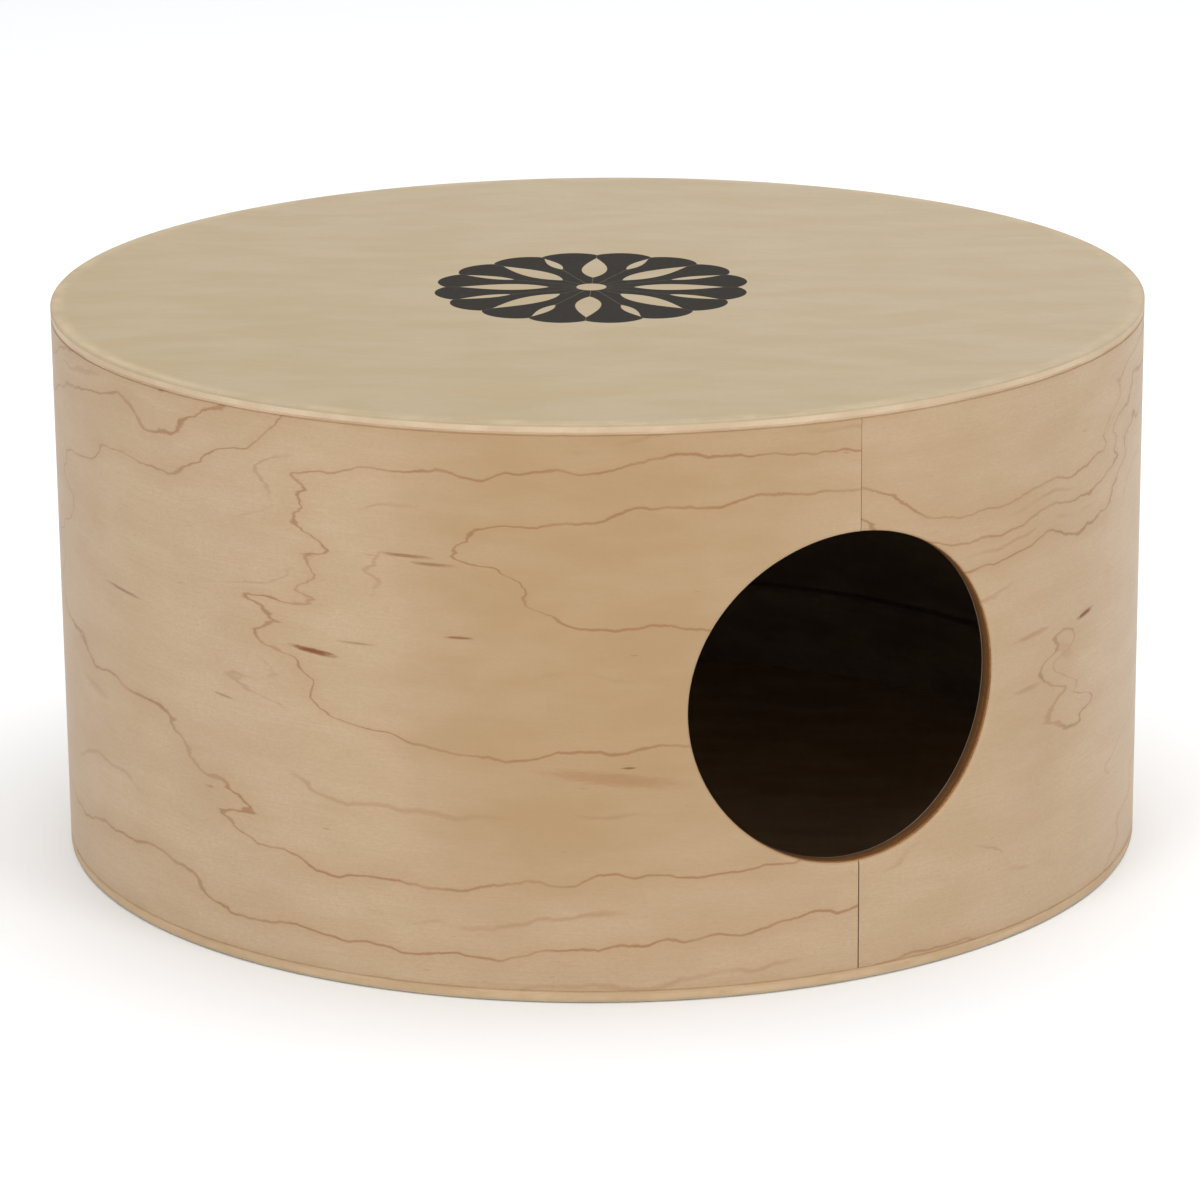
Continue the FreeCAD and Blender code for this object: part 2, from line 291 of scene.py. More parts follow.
def bridge(cuts):
    """Join the picked loops with straight faces."""
    bpy.ops.mesh.bridge_edge_loops(number_cuts=cuts, interpolation="LINEAR", smoothness=0)


def apply_modifiers(piece):
    start_bench()
    bpy.context.view_layer.objects.active = piece
    piece.select_set(True)
    for modifier in list(piece.modifiers):
        bpy.ops.object.modifier_apply(modifier=modifier.name)


def settle(piece, name, slot, material, *replaced, smooth_angle=40):
    """Name a finished piece, smooth it, give it its finish and its place in the frame."""
    start_bench()
    bpy.context.view_layer.objects.active = piece
    piece.select_set(True)
    bpy.ops.object.transform_apply(location=True, rotation=True, scale=True)
    bpy.ops.object.shade_smooth_by_angle(angle=math.radians(smooth_angle))
    piece.name = name
    piece.data.name = name
    piece.data.materials.clear()
    piece.data.materials.append(material)
    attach(piece, "root")
    if replaced:
        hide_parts(*replaced)
    return piece


# ---- Wall sheets ----


def hole_radius_at(depth):
    """The sound hole's radius at a depth below the shell's face, with both edges rounded."""
    if depth < HOLE_OUTER_ROUNDING:
        rise = HOLE_OUTER_ROUNDING - depth
        return HOLE_RADIUS + HOLE_OUTER_ROUNDING - math.sqrt(HOLE_OUTER_ROUNDING**2 - rise**2)
    left = WALL_DEPTH - depth
    if left < HOLE_INNER_ROUNDING:
        rise = HOLE_INNER_ROUNDING - left
        return HOLE_RADIUS + HOLE_INNER_ROUNDING - math.sqrt(HOLE_INNER_ROUNDING**2 - rise**2)
    return HOLE_RADIUS


def on_hole(co, depth):
    """The nearest point of the sound hole's edge at that depth, on the flattened sheet."""
    angle = math.atan2(co.z - HOLE_HEIGHT, (RADIUS - co.y) * math.sin(co.x / RADIUS))
    radius = hole_radius_at(depth)
    across = math.asin(radius * math.cos(angle) / (RADIUS - depth)) * RADIUS
    return Vector((across, depth, HOLE_HEIGHT + radius * math.sin(angle)))


def drilled_sheet(front, back):
    """A flat sheet as long as the shell is round, with the hole's loop bridged into it."""
    cell = WALL_LENGTH / ROUND_STEPS
    start_bench()
    bpy.ops.mesh.primitive_grid_add(
        x_subdivisions=ROUND_STEPS,
        y_subdivisions=WALL_ROWS,
        size=1,
        location=(0, front, (SHELL_LOW + SHELL_HIGH) / 2),
        rotation=(math.pi / 2, 0, 0),
    )
    sheet = bpy.context.object
    sheet.scale = (WALL_LENGTH, SHELL_HIGH - SHELL_LOW - 2 * front_easing(front), 1)
    bpy.ops.object.transform_apply(location=True, rotation=True, scale=True)
    into_edit(sheet)
    row = (SHELL_HIGH - SHELL_LOW) / WALL_ROWS
    reach_across = cell * WINDOW_CELLS / 2
    reach_up = row * WINDOW_CELLS / 2

    def in_window(centre, _):
        return abs(centre.x) < reach_across and abs(centre.z - HOLE_HEIGHT) < reach_up

    pick("faces", in_window)
    bpy.ops.mesh.delete(type="FACE")
    bpy.ops.mesh.primitive_circle_add(
        vertices=4 * WINDOW_CELLS,
        radius=HOLE_RADIUS,
        location=(0, front - HOLE_RADIUS, HOLE_HEIGHT),
        rotation=(math.pi / 2, math.pi / 4, 0),
    )

    def around_window(centre, edge):
        near = abs(centre.x) < reach_across * WINDOW_MARGIN
        near = near and abs(centre.z - HOLE_HEIGHT) < reach_up * WINDOW_MARGIN
        return near and len(edge.link_faces) < 2

    # The circle stands one hole's radius proud of the sheet while it is bridged, and is then laid
    # flat, because two loops in one plane can be bridged the wrong way round.
    def to_front(co):
        flat = Vector((co.x, front, co.z))
        return on_hole(flat, front) if co.y < front - 0.99 * HOLE_RADIUS else flat

    pick("edges", around_window)
    bridge(WINDOW_CUTS)
    bpy.ops.mesh.select_all(action="SELECT")
    place_picked(to_front)
    bpy.ops.mesh.normals_make_consistent(inside=False)
    bpy.ops.mesh.duplicate()
    bpy.ops.mesh.flip_normals()

    def to_back(co):
        flat = Vector((co.x, back, co.z))
        if is_rim_level(co.z, front):
            flat.z = SHELL_LOW if co.z < HOLE_HEIGHT else SHELL_HIGH
        if on_hole_edge(co, front):
            return on_hole(co, back)
        return flat

    place_picked(to_back)
    return sheet


def front_easing(front):
    """How far the sheet's face stops short of its rims: only the shell's face is chamfered."""
    return JOINT_CHAMFER if front == 0 else 0


def is_rim_level(level, front):
    reach = (SHELL_HIGH - SHELL_LOW) / 2 - front_easing(front) - HAIR
    return abs(level - HOLE_HEIGHT) > reach


def on_hole_edge(co, depth):
    return (co - on_hole(co, depth)).length < HOLE_EDGE_REACH


def beside_hole(co):
    """Whether a point of the flattened sheet is in the sound hole or within its rounded edge."""
    across = (RADIUS - co.y) * math.sin(co.x / RADIUS)
    near = math.hypot(across, co.z - HOLE_HEIGHT) < HOLE_RADIUS + HOLE_MARGIN * HOLE_OUTER_ROUNDING
    return near and abs(co.x) < RADIUS


def close_rims(front, back):
    """Walls between the sheet's face and back, along both rims and inside the hole."""

    def open_rim(sign):
        def test(centre, edge):
            far = (centre.z - HOLE_HEIGHT) * sign > (SHELL_HIGH - SHELL_LOW) / 2 - JOINT_CHAMFER - HAIR
            level = abs(edge.verts[0].co.z - edge.verts[1].co.z) < MM
            return far and level and len(edge.link_faces) < 2
        return test

    def on_chamfer(sign):
        def test(co, _):
            on_side = sign * (co.z - HOLE_HEIGHT) > 0 and is_rim_level(co.z, front)
            return on_side and HAIR < co.y < back - HAIR
        return test

    for sign in (-1, 1):
        pick("edges", open_rim(sign))
        bridge(1 if front == 0 else 0)
        if front == 0:
            pick("verts", on_chamfer(sign))
            rim = HOLE_HEIGHT + sign * (SHELL_HIGH - SHELL_LOW) / 2
            place_picked(lambda co: Vector((co.x, JOINT_CHAMFER, rim)))

    pick("edges", lambda centre, edge: beside_hole(centre) and len(edge.link_faces) < 2)
    bridge(HOLE_WALL_CUTS)
    pick("verts", lambda co, _: beside_hole(co) and front < co.y - SLIVER and co.y + SLIVER < back)
    place_picked(lambda co: on_hole(co, spread(co.y, front, back)))


def spread(depth, front, back):
    """Crowd the loops of the hole's wall towards its rounded edges."""
    share = (depth - front) / (back - front)
    if front == 0:
        return front + (back - front) * share**EDGE_CROWDING
    if back >= WALL_DEPTH - HAIR:
        return front + (back - front) * (1 - (1 - share) ** EDGE_CROWDING)
    return front + (back - front) * share**CORE_CROWDING


def open_seam():
    """Cut the gap of the face veneer's butt joint through the flat sheet."""
    lean = (SEAM_GAP_AT_BOTTOM - SEAM_GAP_AT_TOP) / 2 / (SHELL_HIGH - SHELL_LOW)
    middle = (SEAM_GAP_AT_BOTTOM + SEAM_GAP_AT_TOP) / 4
    for side in (-1, 1):
        pick("faces", lambda centre, _: abs(centre.x) < SEAM_SEARCH)
        bpy.ops.mesh.bisect(
            plane_co=(SEAM_OFFSET + side * middle, 0, HOLE_HEIGHT),
            plane_no=(1, 0, side * lean),
        )

    def in_gap(centre, _):
        half = middle - (centre.z - HOLE_HEIGHT) * lean
        return abs(centre.x - SEAM_OFFSET) < half

    pick("faces", in_gap)
    bpy.ops.mesh.delete(type="FACE")


def bend_round(sheet):
    """Bend the finished flat sheet into the shell and close it on itself at the back."""
    bend = sheet.modifiers.new("bend", "SIMPLE_DEFORM")
    bend.deform_method = "BEND"
    bend.deform_axis = "Z"
    bend.angle = 2 * math.pi
    apply_modifiers(sheet)
    into_edit(sheet)
    bpy.ops.mesh.select_all(action="SELECT")
    bpy.ops.transform.translate(value=(0, -RADIUS, 0))
    bpy.ops.mesh.remove_doubles(threshold=WALL_MERGE)
    bpy.ops.mesh.select_all(action="DESELECT")
    bpy.ops.mesh.select_mode(type="EDGE")
    bpy.ops.mesh.select_non_manifold()
    bpy.ops.mesh.fill_holes(sides=0)
    bpy.ops.mesh.select_all(action="SELECT")
    bpy.ops.mesh.normals_make_consistent(inside=False)
    return out_of_edit()


def wall_sheet(front, back, seam=False):
    """One layer of the shell, between two depths below its face."""
    sheet = drilled_sheet(front, back)
    close_rims(front, back)
    if seam:
        open_seam()
    out_of_edit()
    return bend_round(sheet)


# ---- Plates ----


def turned_blank():
    """A three-ply disc with its outer edge rounded over and its joint edge just broken."""
    low, high = HEIGHT - PLATE_DEPTH, HEIGHT
    start_bench()
    bpy.ops.mesh.primitive_cylinder_add(
        vertices=ROUND_STEPS,
        radius=RADIUS,
        depth=PLATE_DEPTH,
        location=(0, 0, (low + high) / 2),
    )
    blank = bpy.context.object
    into_edit(blank)
    pick("edges", lambda centre, _: centre.z > high - SLIVER)
    bpy.ops.mesh.bevel(offset=PLATE_EDGE_RADIUS, segments=PLATE_EDGE_STEPS, profile=0.5)
    pick("edges", lambda centre, _: centre.z < low + SLIVER)
    bpy.ops.mesh.bevel(offset=JOINT_CHAMFER, segments=1)
    for level in (low, high):
        pick("faces", lambda centre, face: abs(centre.z - level) < SLIVER and len(face.verts) > 4)
        for inset in PLATE_INSETS:
            bpy.ops.mesh.inset(thickness=inset)
    return out_of_edit()


def copy_of(piece):
    start_bench()
    bpy.context.view_layer.objects.active = piece
    piece.select_set(True)
    bpy.ops.object.duplicate()
    return bpy.context.object


def split_ply(blank, low, high):
    """Keep only the layer of the blank between two heights."""
    ply = copy_of(blank)
    into_edit(ply)
    for level, side in ((low, -1), (high, 1)):
        if SHELL_HIGH + SLIVER < level < HEIGHT - SLIVER:
            bpy.ops.mesh.select_all(action="SELECT")
            bpy.ops.mesh.bisect(
                plane_co=(0, 0, level),
                plane_no=(0, 0, side),
                use_fill=True,
                clear_outer=True,
                threshold=SLIVER,
            )
    bpy.ops.mesh.select_all(action="SELECT")
    bpy.ops.mesh.normals_make_consistent(inside=False)
    return out_of_edit()


def turned_over(ply):
    """The same ply for the other end of the shell."""
    other = copy_of(ply)
    into_edit(other)
    bpy.ops.mesh.select_all(action="SELECT")
    bpy.ops.transform.rotate(
        value=math.pi,
        orient_axis="X",
        center_override=(0, 0, HEIGHT / 2),
    )
    return out_of_edit()


# ---- Snare ----


def wound_strand():
    """One strand: spring wire wound in an open coil, its flat ends lying on the end plates."""
    start_bench()
    bpy.ops.mesh.primitive_circle_add(
        vertices=WIRE_SIDES,
        radius=WIRE_RADIUS,
        location=(-STRAND_HALF, 0, COIL_RADIUS),
        rotation=(math.pi / 2, 0, 0),
    )
    strand = bpy.context.object
    bpy.ops.object.transform_apply(location=True, rotation=True, scale=True)
    turns = round((2 * STRAND_HALF - 2 * WIRE_RADIUS) / COIL_PITCH)
    winding = strand.modifiers.new("winding", "SCREW")
    winding.axis = "X"
    winding.iterations = turns
    winding.screw_offset = (2 * STRAND_HALF - 2 * WIRE_RADIUS) / turns
    winding.steps = TURN_STEPS
    winding.render_steps = TURN_STEPS
    apply_modifiers(strand)
    into_edit(strand)
    bpy.ops.mesh.select_all(action="SELECT")
    bpy.ops.mesh.remove_doubles(threshold=WIRE_MERGE)
    bpy.ops.mesh.select_non_manifold()
    bpy.ops.mesh.fill_holes(sides=0)
    bpy.ops.mesh.select_all(action="SELECT")
    bpy.ops.mesh.normals_make_consistent(inside=False)
    bpy.ops.transform.translate(value=(WIRE_RADIUS, 0, 0))
    place_picked(lambda co: Vector((co.x, co.y, co.z + strand_height(abs(co.x)))))
    return out_of_edit()


def strand_height(reach):
    """Height of the strand's middle line: low on the end plates, lifted against the top plate."""
    share = (STRAND_FOOT - reach) / (STRAND_FOOT - STRAND_SHOULDER)
    share = min(max(share, 0), 1)
    return STRAND_LOW + (STRAND_HIGH - STRAND_LOW) * share * share * (3 - 2 * share)


def set_across(strand, offset):
    """Shift a copied strand to its place in the row."""
    into_edit(strand)
    bpy.ops.mesh.select_all(action="SELECT")
    bpy.ops.transform.translate(value=(0, offset, 0))
    return out_of_edit()


# ---- Wiring tools for the finishes ----


class Graph:
    """A node tree being wired. A value fed to a socket is a number, a colour or another socket."""

    def __init__(self, tree):
        self.tree = tree

    def feed(self, socket, value):
        if isinstance(value, bpy.types.NodeSocket):
            self.tree.links.new(value, socket)
        else:
            socket.default_value = value

    def node(self, kind, values=(), **settings):
        made = self.tree.nodes.new("ShaderNode" + kind)
        for name, setting in settings.items():
            setattr(made, name, setting)
        for where, value in dict(values).items():
            self.feed(made.inputs[where], value)
        return made

    def math(self, operation, *values, clamp=False):
        made = self.node("Math", operation=operation, use_clamp=clamp)
        for socket, value in zip(made.inputs, values):
            self.feed(socket, value)
        return made.outputs[0]

    def plus(self, first, second):
        return self.math("ADD", first, second)

    def minus(self, first, second):
        return self.math("SUBTRACT", first, second)

    def times(self, first, second):
        return self.math("MULTIPLY", first, second)

    def over(self, first, second, clamp=False):
        return self.math("DIVIDE", first, second, clamp=clamp)

    def slant(self, first, second):
        """The distance that two distances at right angles make."""
        return self.math("SQRT", self.plus(self.times(first, first), self.times(second, second)))

    def position(self):
        """The point on the object, in metres from the middle of its foot."""
        return self.node("TexCoord").outputs["Object"]

    def in_mm(self, place):
        return self.node("VectorMath", {0: place, "Scale": 1 / MM}, operation="SCALE").outputs[0]

    def parts(self, vector):
        return self.node("SeparateXYZ", {0: vector}).outputs

    def vector(self, x, y, z):
        return self.node("CombineXYZ", {0: x, 1: y, 2: z}).outputs[0]

    def reach(self, x, y):
        """How far a point is from the upright."""
        flat = self.vector(x, y, 0)
        return self.node("VectorMath", {0: flat}, operation="LENGTH").outputs["Value"]

    def turned(self, vector, angle):
        return self.node("Mapping", {"Vector": vector, "Rotation": (0, 0, angle)}).outputs[0]

    def stretched(self, vector, sizes):
        """The vector in units of a grain's length, width and depth."""
        scale = tuple(1 / size for size in sizes)
        return self.node("Mapping", {"Vector": vector, "Scale": scale}).outputs[0]

    def noise(self, vector, detail=2, roughness=0.5):
        values = {"Vector": vector, "Scale": 1, "Detail": detail, "Roughness": roughness}
        return self.node("TexNoise", values).outputs["Fac"]

    def ramp(self, value, low, high):
        """0 below low, 1 above high, and a smooth rise between them."""
        values = {"Value": value, "From Min": low, "From Max": high}
        return self.node("MapRange", values, interpolation_type="SMOOTHSTEP").outputs["Result"]

    def colour(self, share, first, second):
        made = self.node("Mix", data_type="RGBA")
        self.feed(made.inputs["Factor"], share)
        self.feed(made.inputs[6], first)
        self.feed(made.inputs[7], second)
        return made.outputs[2]

    def tinted(self, tone, stain, mask, strength):
        """The tone with a stain laid over it where the mask is."""
        return self.colour(self.times(mask, strength), tone, stain)

    def blend(self, share, first, second):
        made = self.node("Mix", data_type="FLOAT")
        self.feed(made.inputs[0], share)
        self.feed(made.inputs[2], first)
        self.feed(made.inputs[3], second)
        return made.outputs[0]

    def group(self, tree, **values):
        made = self.node("Group", node_tree=tree)
        for name, value in values.items():
            self.feed(made.inputs[name.replace("_", " ")], value)
        return made.outputs

    def curve(self, value, handles):
        """A drawn curve through the handles, both of their numbers from 0 to 1."""
        made = self.node("FloatCurve", {"Value": value})
        line = made.mapping.curves[0]
        line.points[0].location = handles[0]
        line.points[1].location = handles[-1]
        for handle in handles[1:-1]:
            line.points.new(*handle)
        made.mapping.update()
        return made.outputs[0]


def new_group(name, inputs, outputs):
    """An empty node group: its inputs' starting values by name, and its outputs' names."""
    tree = bpy.data.node_groups.new(name, "ShaderNodeTree")
    for label, start in inputs.items():
        kind = "NodeSocketFloat" if isinstance(start, (int, float)) else "NodeSocketVector"
        socket = tree.interface.new_socket(label, in_out="INPUT", socket_type=kind)
        socket.default_value = start
    for label in outputs:
        tree.interface.new_socket(label, in_out="OUTPUT", socket_type="NodeSocketFloat")
    graph = Graph(tree)
    entry = tree.nodes.new("NodeGroupInput")
    leave = tree.nodes.new("NodeGroupOutput")
    return graph, entry.outputs, leave.inputs


def new_finish(name, roughness=0.5, metallic=0.0, specular=0.5):
    """An empty material and its one shader, with the numbers that are the same all over."""
    material = bpy.data.materials.new(name)
    material.use_nodes = True
    graph = Graph(material.node_tree)
    shader = material.node_tree.nodes["Principled BSDF"]
    shader.inputs["Roughness"].default_value = roughness
    shader.inputs["Metallic"].default_value = metallic
    shader.inputs["Specular IOR Level"].default_value = specular
    return material, graph, shader.inputs


def raise_surface(graph, inputs, height, distance):
    bump = graph.node("Bump", {"Strength": 1, "Distance": distance, "Height": height})
    graph.feed(inputs["Normal"], bump.outputs[0])


# ---- Shared effects ----


def unrolled_wall():
    """Where a point lies on the wall, in mm: along it from the seam, up it, and below its face."""
    graph, given, out = new_group(
        "unrolled_wall",
        {"Position": (0, 0, 0)},
        ("Along", "Up", "Depth"),
    )
    x, y, z = graph.parts(given["Position"])
    beside_seam = graph.minus(x, SEAM_OFFSET)
    angle = graph.math("ARCTAN2", beside_seam, y)
    turned = graph.plus(angle, math.pi)
    graph.feed(out["Along"], graph.times(turned, RADIUS / MM))
    graph.feed(out["Up"], graph.times(z, 1 / MM))
    graph.feed(out["Depth"], graph.times(graph.minus(RADIUS, graph.reach(x, y)), 1 / MM))
    return graph.tree


def growth_rings():
    """A rotary-cut sheet's figure: late wood lines around a heart that wanders along the sheet."""
    graph, given, out = new_group(
        "growth_rings",
        {"Along": 0, "Up": 0, "Jaggedness": 1},
        ("Line", "Faint Line", "Shade"),
    )
    along, up = given["Along"], given["Up"]

    def sway(along_size, up_size, amount, shift, detail=2):
        """A slow wander in mm: its size along the sheet and up it, its amount, and its own shift."""
        vector = graph.vector(
            graph.times(along, 1 / along_size),
            graph.times(up, 1 / up_size),
            shift,
        )
        centred = graph.minus(graph.noise(vector, detail), 0.5)
        return graph.times(centred, amount)

    drift = sway(90, 25, 60, 3.1)
    jag = graph.plus(sway(34, 9, 46, 7.7, 1), sway(7, 2.2, 7, 2.9, 2))
    jag = graph.times(jag, given["Jaggedness"])
    moved_along = graph.plus(graph.plus(along, drift), jag)
    lift = graph.plus(sway(45, 60, 22, 5.2), sway(9, 18, 4.5, 1.4, 4))
    moved_up = graph.plus(up, lift)
    share = graph.over(moved_along, WALL_LENGTH_MM, clamp=True)
    heart = graph.times(graph.curve(share, HEART_LINE), HEIGHT_MM)
    depth = graph.times(graph.curve(share, HEART_DEPTH), HEIGHT_MM)
    below = graph.minus(heart, moved_up)
    above = graph.minus(graph.minus(moved_up, heart), HEART_WIDTH_MM)
    above = graph.over(above, YEARS_CROWDED)
    aside = graph.math("MAXIMUM", graph.math("MAXIMUM", below, above), 0)
    cubes = graph.plus(graph.math("POWER", aside, 3), graph.math("POWER", depth, 3))
    year = graph.math("POWER", cubes, 1 / 3)
    # How fast the years pass up the sheet and along it, to keep every line equally thin.
    whole = graph.math("MAXIMUM", year, 1)
    crowded = graph.blend(graph.math("GREATER_THAN", above, below), 1, 1 / YEARS_CROWDED)
    rate_up = graph.times(graph.math("POWER", graph.over(aside, whole), 2), crowded)
    step = 0.004
    further = graph.times(graph.curve(graph.plus(share, step), HEART_DEPTH), HEIGHT_MM)
    slope = graph.over(graph.minus(further, depth), step * WALL_LENGTH_MM)
    rate_along = graph.times(graph.math("POWER", graph.over(depth, whole), 2), slope)
    rate_along = graph.times(rate_along, 1.7)
    rate = graph.slant(rate_up, rate_along)
    narrow = graph.over(1, graph.math("MAXIMUM", rate, 0.05))

    def nearest(rings):
        gap = None
        for ring in rings:
            away = graph.math("ABSOLUTE", graph.minus(year, ring))
            gap = away if gap is None else graph.math("MINIMUM", gap, away)
        return graph.times(gap, narrow)

    gap = nearest(YEAR_RINGS_MM)
    faint_gap = nearest(FALSE_RINGS_MM)
    strength = graph.ramp(sway(16, 12, 1, 9.5), -0.22, 0.12)
    line = graph.minus(1, graph.ramp(gap, 0.1, 0.58))
    graph.feed(out["Line"], graph.times(line, graph.blend(strength, 0.55, 1)))
    faint = graph.minus(1, graph.ramp(faint_gap, 0.1, 1))
    patchy = graph.ramp(sway(40, 14, 1, 12.5), 0.0, 0.16)
    graph.feed(out["Faint Line"], graph.times(faint, patchy))
    graph.feed(out["Shade"], graph.minus(1, graph.ramp(gap, 0, 7)))
    return graph.tree


def wood_fibres():
    """Fibres, pores and mottling of a sheet, for a position in mm with its x along the grain."""
    graph, given, out = new_group(
        "wood_fibres",
        {"Grain Position": (0, 0, 0)},
        ("Fibre", "Pores", "Mottle", "Specks"),
    )
    place = given["Grain Position"]
    long_fibre = graph.noise(graph.stretched(place, (22, 0.7, 0.7)), 3, 0.6)
    short_fibre = graph.noise(graph.stretched(place, (3.2, 0.35, 0.35)), 2, 0.6)
    graph.feed(out["Fibre"], graph.blend(0.55, long_fibre, short_fibre))
    pore = graph.noise(graph.stretched(place, (1.6, 0.22, 0.22)), 1)
    graph.feed(out["Pores"], graph.ramp(pore, 0.66, 0.78))
    mottle = graph.noise(graph.stretched(place, (34, 13, 13)), 3, 0.55)
    graph.feed(out["Mottle"], mottle)
    speck = graph.noise(graph.stretched(place, (7, 1.1, 1.1)), 1)
    graph.feed(out["Specks"], graph.ramp(speck, 0.76, 0.84))
    return graph.tree


def mineral_streak():
    """One dark, tapered dash in the veneer."""
    graph, given, out = new_group(
        "mineral_streak",
        {"Along": 0, "Up": 0, "Centre Along": 0, "Centre Up": 0, "Length": 10, "Thickness": 1, "Lean": 0},
        ("Mask",),
    )
    side = graph.minus(given["Along"], given["Centre Along"])
    rise = graph.minus(given["Up"], given["Centre Up"])
    rise = graph.minus(rise, graph.times(side, given["Lean"]))
    fray_place = graph.vector(graph.times(side, 0.35), graph.times(rise, 2.2), 4.4)
    frayed = graph.noise(fray_place, 3)
    frayed = graph.times(graph.minus(frayed, 0.5), 0.9)
    reach = graph.over(graph.times(side, 2), given["Length"])
    spread_up = graph.over(graph.times(rise, 2), given["Thickness"])
    distance = graph.plus(graph.slant(reach, spread_up), frayed)
    graph.feed(out["Mask"], graph.minus(1, graph.ramp(distance, 0.35, 1.15)))
    return graph.tree


def near_rim_band():
    """A band with an uneven edge along an edge that is a level circle round the upright: on the plates it
    holds a painted highlight, on the shell a darker colour.
    """
    graph, given, out = new_group(
        "near_rim_band",
        {"Position": (0, 0, 0), "Edge Radius": 0.1, "Edge Height": 0, "Reach": 0.002},
        ("Near Rim",),
    )
    x, y, z = graph.parts(given["Position"])
    aside = graph.minus(graph.reach(x, y), given["Edge Radius"])
    above = graph.minus(z, given["Edge Height"])
    away = graph.slant(aside, above)
    near = graph.minus(1, graph.over(away, given["Reach"], clamp=True))
    uneven = graph.noise(graph.stretched(given["Position"], (0.011, 0.011, 0.004)), 4, 0.6)
    graph.feed(out["Near Rim"], graph.times(near, graph.ramp(uneven, 0.3, 0.7)))
    return graph.tree


def printed_rosette():
    """A scalloped black rosette with open petals, its masks measured in mm from the plate's middle."""
    graph, given, out = new_group("printed_rosette", {"Place": (0, 0, 0)}, ("Ink",))
    x, y, _ = graph.parts(given["Place"])
    reach = graph.reach(x, y)
    angle = graph.math("ARCTAN2", y, x)

    def folded(count, turn=0.0):
        """Distance in mm from the nearest of some evenly spaced rays."""
        step = 2 * math.pi / count
        shifted = graph.plus(angle, turn + 2 * math.pi)
        offset = graph.math("PINGPONG", shifted, step / 2)
        return graph.times(offset, reach)

    def petal(count, turn, start, end, width):
        share = graph.over(graph.minus(reach, start), end - start, clamp=True)
        swell = graph.math("SINE", graph.times(graph.math("POWER", share, 0.8), math.pi))
        return graph.minus(graph.times(swell, width), folded(count, turn))

    lobes = graph.math("ABSOLUTE", graph.math("SINE", graph.times(angle, ROSETTE_PETALS)))
    scallops = graph.times(graph.math("POWER", lobes, 0.7), ROSETTE_SCALLOP_MM)
    edge = graph.plus(ROSETTE_RADIUS_MM - ROSETTE_SCALLOP_MM, scallops)
    disc = graph.minus(edge, reach)
    petals = petal(ROSETTE_PETALS, 0, 12, 37, 3.6)
    slits = petal(ROSETTE_PETALS, math.pi / ROSETTE_PETALS, 24, 39, 1.6)
    eye = graph.minus(ROSETTE_EYE_MM, reach)
    opened = graph.math("MAXIMUM", graph.math("MAXIMUM", petals, slits), eye)
    inside = graph.math("MINIMUM", disc, graph.times(opened, -1))
    graph.feed(out["Ink"], graph.ramp(inside, -0.12, 0.12))
    return graph.tree


# ---- Finishes ----


def wall_grain(graph, wall, shift=0.0):
    """Position in mm on the unrolled wall, for a sheet whose grain runs round the shell.

    The shift gives each sheet its own piece of wood.
    """
    return graph.vector(wall["Along"], wall["Up"], graph.plus(wall["Depth"], shift))


def shell_veneer_finish():
    finish, graph, shader = new_finish("shell_veneer", specular=0.18)
    place = graph.position()
    wall = graph.group(UNROLLED_WALL, Position=place)
    rings = graph.group(GROWTH_RINGS, Along=wall["Along"], Up=wall["Up"])
    wood = graph.group(WOOD_FIBRES, Grain_Position=wall_grain(graph, wall))
    share = graph.over(wall["Along"], WALL_LENGTH_MM)
    # Painted sheen and the veneer's own tone along the wall. The drift is weaker towards the foot, so the
    # wall is paler there.
    drift = graph.curve(share, TONE_AND_PAINTED_SHEEN)
    drift = graph.times(drift, graph.blend(graph.ramp(wall["Up"], 8, 58), 0.3, 1))
    mottle_and_painted_sheen = graph.blend(0.2, drift, graph.ramp(wood["Mottle"], 0.66, 0.34))
    tone = graph.colour(mottle_and_painted_sheen, VENEER_PALE_AND_PAINTED_SHEEN, VENEER_DEEP)
    tone = graph.tinted(tone, VENEER_SHADE, rings["Shade"], 0.25)
    tone = graph.tinted(tone, VENEER_FIBRE, graph.ramp(wood["Fibre"], 0.66, 0.34), 0.22)
    tone = graph.tinted(tone, VENEER_PORE, wood["Pores"], 0.28)
    tone = graph.tinted(tone, VENEER_LINE, wood["Specks"], 0.5)
    sanded = graph.noise(graph.stretched(wall_grain(graph, wall), (1.2, 0.7, 0.7)), 3, 0.7)
    tone = graph.tinted(tone, VENEER_FIBRE, graph.ramp(sanded, 0.62, 0.38), 0.2)
    tone = graph.tinted(tone, VENEER_LINE, rings["Faint Line"], 0.3)
    tone = graph.tinted(tone, VENEER_LINE, rings["Line"], 0.66)
    marks = [(mark, VENEER_SMUDGE) for mark in VENEER_SMUDGES]
    marks += [(mark, VENEER_MINERAL) for mark in VENEER_STREAKS]
    for (along, up, length, thickness, lean, depth), colour in marks:
        streak = graph.group(
            MINERAL_STREAK,
            Along=wall["Along"],
            Up=wall["Up"],
            Centre_Along=along,
            Centre_Up=up,
            Length=length,
            Thickness=thickness,
            Lean=lean,
        )
        tone = graph.tinted(tone, colour, streak["Mask"], depth)
    # A darker band along the shell's top and bottom rims, where it meets the plates.
    for height in (SHELL_LOW, SHELL_HIGH):
        rim_mask = graph.group(
            NEAR_RIM_BAND, Position=place, Edge_Radius=RADIUS, Edge_Height=height, Reach=2.2 * MM
        )
        tone = graph.tinted(tone, VENEER_SHADE, rim_mask["Near Rim"], 0.5)
    graph.feed(shader["Base Color"], tone)
    graph.feed(shader["Roughness"], graph.blend(wood["Fibre"], 0.48, 0.34))
    relief = graph.minus(wood["Fibre"], graph.times(wood["Pores"], 0.8))
    raise_surface(graph, shader, relief, 0.02 * MM)
    return finish


